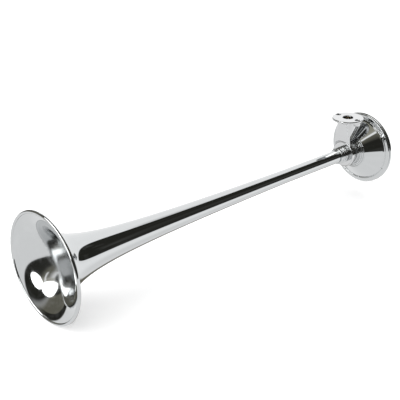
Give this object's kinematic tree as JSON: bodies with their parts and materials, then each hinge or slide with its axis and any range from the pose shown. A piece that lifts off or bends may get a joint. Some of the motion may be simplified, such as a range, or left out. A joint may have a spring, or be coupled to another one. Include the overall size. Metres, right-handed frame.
{
  "type": "air horn",
  "caption": "Long chromed trumpet air horn: a flared bell on a slender tube, a pedestal with a round bolt-down pad, and a diaphragm housing with a screwed back cover.",
  "frame": {"origin": "centre of the air inlet, on the face of the mounting pad", "axes": "+Z leaves the pad's face, +Y runs along the horn from the bell's mouth to the diaphragm housing, X crosses the horn along the line of the two bolt holes"},
  "size_m": [0.1524, 0.63, 0.1524],
  "materials": {
    "chrome": "mirror plated",
    "brass": "machined",
    "spring_steel": "rolled",
    "fibre": "matte",
    "rubber": "matte"
  },
  "bodies": {
    "horn": {"bell": "chrome", "rim_wire": "spring_steel", "trumpet_tube": "chrome", "throat_ferrule": "chrome", "ferrule_gasket": "fibre", "pedestal": "chrome", "inlet_strainer": "brass", "nozzle": "brass", "nozzle_o_ring": "rubber", "neck_gasket": "fibre", "diaphragm_housing": "chrome", "front_gasket": "fibre", "diaphragm": "spring_steel", "rear_gasket": "fibre", "back_cover": "chrome", "cover_screws": "chrome", "lock_washers": "spring_steel"},
    "valve": {"valve_disc": "brass", "backing_washer": "spring_steel", "centre_rivet": "spring_steel"}
  },
  "joints": [
    {"name": "diaphragm_flex", "type": "slide", "parent": "horn", "child": "valve", "axis": [0, 1, 0], "range_m": [0, 0.0008], "stiffness_N_per_m": 2000, "deforming": ["diaphragm"]}
  ]
}
